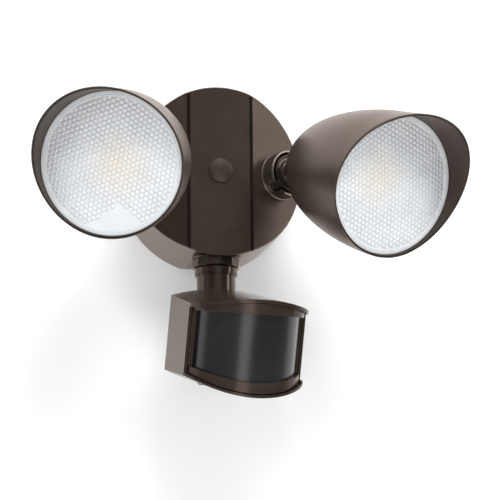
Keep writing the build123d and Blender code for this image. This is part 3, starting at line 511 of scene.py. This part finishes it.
def fieldHeight(radius):
    # the feet of the prisms stand here; the smooth field lies a little lower
    return lens["field"] + lens["crown"] - domeFall(radius)


def lensProfile():
    ring, edge, front, back = lens["ring"], lens["edge"], lens["front"], lens["back"]
    ripple, half, sunk = lens["ripple"], lens["groove"], lens["sunk"]
    radii = [ring * k / lens["fieldRings"] for k in range(lens["fieldRings"] + 1)]
    field = [(radius, fieldHeight(radius) - sunk) for radius in radii]
    hollow = [(radius, height - lens["field"] + back + sunk) for radius, height in reversed(field)]
    small, large = lens["smallRound"], lens["largeRound"]
    rim = [(ring, front - small), (ring + lens["step"], front), (ripple - half, front),
           (ripple, front - lens["grooveDeep"]), (ripple + half, front), (edge - large, front),
           (edge - small, front - small), (edge, front - large), (edge, back)]
    return field + rim + hollow


def addPrism(shape, line, x, y, shade):
    # a closed six-sided block, its foot sunk in the field; the face to draw up into a point is returned
    size = prism["pitch"] / math.sqrt(3) * prism["fill"]
    place = move(x, y, fieldHeight(math.hypot(x, y)) - prism["foot"] / 2) @ turn("Z", 30)
    made = bmesh.ops.create_cone(shape, cap_ends=True, segments=6, radius1=size, radius2=size,
                                 depth=prism["foot"], matrix=place)
    for vert in made["verts"]:
        # painted shade: the prism's edges are painted grey, and darker where the bowl's rim is painted
        vert[line] = prism["edgeTone"] + (1 - prism["edgeTone"]) * prism["edgeGain"] * shade
    faces = {face for vert in made["verts"] for face in vert.link_faces}
    return max(faces, key=lambda face: face.calc_center_median().z)


def makeLens(name, place):
    look, pitch = lensLooks[name], prism["pitch"]
    shape = spun(lensProfile(), lens["steps"], False)
    bmesh.ops.remove_doubles(shape, verts=shape.verts, dist=weld)
    layers = shape.verts.layers.float
    point, line, paintedGlow = (layers.new(key) for key in ("prismPoint", "prismEdge", "paintedGlow"))
    rowStep = pitch * math.sqrt(0.75)
    rows = int(lens["edge"] / rowStep) + 1
    cells = []
    for row in range(-rows, rows + 1):
        for column in range(-rows - 2, rows + 3):
            x, y = (column + (row % 2) / 2) * pitch, row * rowStep
            if math.hypot(x, y) <= lens["ring"] - prism["border"] and not inFan(look["fan"], x, y):
                cells.append(addPrism(shape, line, x, y, bowlShade(look, x, y)))
    bmesh.ops.recalc_face_normals(shape, faces=shape.faces)
    bmesh.ops.inset_individual(shape, faces=cells, thickness=prism["inset"], depth=prism["peak"])
    for face in cells:
        for vert in face.verts:
            vert[line] = 0.0
    poked = bmesh.ops.poke(shape, faces=cells, offset=prism["tip"])
    for vert in poked["verts"]:
        vert[line] = 0.0
        # painted shade: each prism's point is painted dark where the bowl's rim would show through it
        vert[point] = bowlShade(look, vert.co.x, vert.co.y)
    # painted glow: the middle of the lens is painted warm, round the place where the emitter lies behind it
    midX, midY, reach = look["warm"]
    for vert in shape.verts:
        far = math.hypot(vert.co.x - midX, vert.co.y - midY) / reach
        vert[paintedGlow] = max(0, 1 - far) if vert.co.z > lens["back"] + 2 else 0.0
    finishPiece(f"{name}LensFine", shape, f"{name}_lens", 24, place)


for name, pose in poses.items():
    place = headFrame(*pose)
    makeShell(name, place)
    makeLens(name, place)
print("lamp heads made")

# width of the small rounds on each outer CAD piece
fineNodes = {"canopy_housing": 0.4, "centre_cap": 0.2, "lock_nut": 0.4, "sensor_neck": 0.25,
             "sensor_housing": 0.45, "sensor_frame": 0.3, "sensor_window": 0.0, "sensor_cover": 0.35,
             "right_socket_cup": 0.35, "left_socket_cup": 0.35, "right_arm": 0.25, "left_arm": 0.25,
             "right_ball_socket": 0.25, "left_ball_socket": 0.25, "neck_gasket": 0.3,
             "time_dial": 0.2, "range_dial": 0.2, "dusk_dial": 0.2}
for node, width in fineNodes.items():
    refined(node, width, 18 if node == "lock_nut" else 32)  # the nut's flats meet at a small angle
print("outer pieces refined:", len(fineNodes))


# metres; paint is the wall's tone, glow and shine are what the camera and gloss see on top of its light, world is
# the light all round, and sky is what the camera sees of it
room = {"half": 3.0, "floor": -1.9, "wallGap": 0.0005, "opening": 0.064, "paint": 0.88, "glow": 0.15, "shine": 0.4,
        "world": 0.42, "sky": 0.85}


def paleFinish():
    # a plain pale surface that the camera, gloss and glass see near white, with the object's shadow kept;
    # it has one side only, so the object can be looked at from behind too
    finish = Finish("paleRoom")
    seen, gloss, clear = (finish.node("ShaderNodeLightPath", output=f"Is {ray} Ray")
                          for ray in ("Camera", "Glossy", "Transmission"))
    strength = seen * room["glow"] + (gloss + clear).clipped() * room["shine"]
    matte = finish.node("ShaderNodeBsdfDiffuse", values={"Color": (room["paint"],) * 3})
    light = finish.node("ShaderNodeEmission", values={"Color": (1.0, 1.0, 1.0), "Strength": strength})
    both = finish.node("ShaderNodeAddShader", values={0: matte, 1: light})
    behind = finish.node("ShaderNodeNewGeometry", output="Backfacing")
    unseen = finish.node("ShaderNodeBsdfTransparent")
    oneSided = finish.node("ShaderNodeMixShader", values={0: seen * behind, 1: both, 2: unseen})
    finish.node("ShaderNodeOutputMaterial", values={"Surface": oneSided})
    return finish.material


def wallShape(shape):
    # open behind the canopy, which hides the opening, so that light reaches the back of the object
    bmesh.ops.create_circle(shape, segments=96, radius=room["opening"])
    outer = bmesh.ops.extrude_edge_only(shape, edges=shape.edges[:])
    corners = [part for part in outer["geom"] if isinstance(part, bmesh.types.BMVert)]
    grow = room["half"] / room["opening"]
    bmesh.ops.scale(shape, vec=(grow, grow, 1), verts=corners)
    bmesh.ops.recalc_face_normals(shape, faces=shape.faces)
    if shape.faces[:][0].normal.z < 0:
        bmesh.ops.reverse_faces(shape, faces=shape.faces)
    bmesh.ops.transform(shape, matrix=move(0, room["wallGap"], 0) @ turn("X", 90), verts=shape.verts)


def floorShape(shape):
    bmesh.ops.create_grid(shape, x_segments=1, y_segments=1, size=room["half"], matrix=move(0, 0, room["floor"]))


def makeRoom():
    finish = paleFinish()
    for name, build in {"backWall": wallShape, "floor": floorShape}.items():
        shape = bmesh.new()
        build(shape)
        mesh = bpy.data.meshes.new(name)
        shape.to_mesh(mesh)
        shape.free()
        mesh.materials.append(finish)
        item = bpy.data.objects.new(name, mesh)
        bpy.context.collection.objects.link(item)


# metres and watts; gloss says whether glossy surfaces show the lamp
lamps = {
    "key": {"place": (0.2, -1.65, 1.35), "aim": (0, -0.1, 0), "size": (1.3, 0.9), "watts": 34, "gloss": False},
    "top": {"place": (0, -0.9, 1.9), "aim": (0, -0.1, 0), "size": (1.4, 0.6), "watts": 12, "gloss": True},
    "low": {"place": (-0.8, -1.9, -0.95), "aim": (0, -0.1, 0), "size": (1.2, 0.8), "watts": 6.5, "gloss": False},
    "strip": {"place": (0.1, -2.0, -0.85), "aim": (0, -0.1, -0.1), "size": (0.7, 0.9), "watts": 6.5, "gloss": True},
    "right": {"place": (2.1, -1.1, 0.75), "aim": (0, -0.1, 0), "size": (0.8, 1.3), "watts": 12, "gloss": True},
    "left": {"place": (-1.9, -1.0, 0.3), "aim": (0, -0.1, 0), "size": (0.7, 1.5), "watts": 9, "gloss": False},
}


def aimAt(place, target):
    place = Vector(place)
    toward = (Vector(target) - place).to_track_quat("-Z", "Y")
    return Matrix.Translation(place) @ toward.to_matrix().to_4x4()


def makeLamps():
    for name, setting in lamps.items():
        light = bpy.data.lights.new(name, "AREA")
        light.shape = "RECTANGLE"
        light.size, light.size_y = setting["size"]
        light.energy = setting["watts"]
        item = bpy.data.objects.new(name, light)
        item.matrix_world = aimAt(setting["place"], setting["aim"])
        item.visible_glossy = setting["gloss"]
        item.visible_camera = False
        bpy.context.collection.objects.link(item)


def makeWorld():
    world = bpy.data.worlds.new("softRoom")
    world.use_nodes = True
    tree = world.node_tree
    sky = tree.nodes["Background"].inputs
    sky["Color"].default_value = (1.0, 1.0, 1.0, 1)
    seen = tree.nodes.new("ShaderNodeLightPath")
    level = tree.nodes.new("ShaderNodeMapRange")
    level.inputs["To Min"].default_value = room["world"]
    level.inputs["To Max"].default_value = room["sky"]
    tree.links.new(seen.outputs["Is Camera Ray"], level.inputs["Value"])
    tree.links.new(level.outputs["Result"], sky["Strength"])
    bpy.context.scene.world = world


makeRoom()
makeLamps()
makeWorld()
bpy.context.scene.view_settings.view_transform = "Standard"
print("room and lamps made")

noteSize()
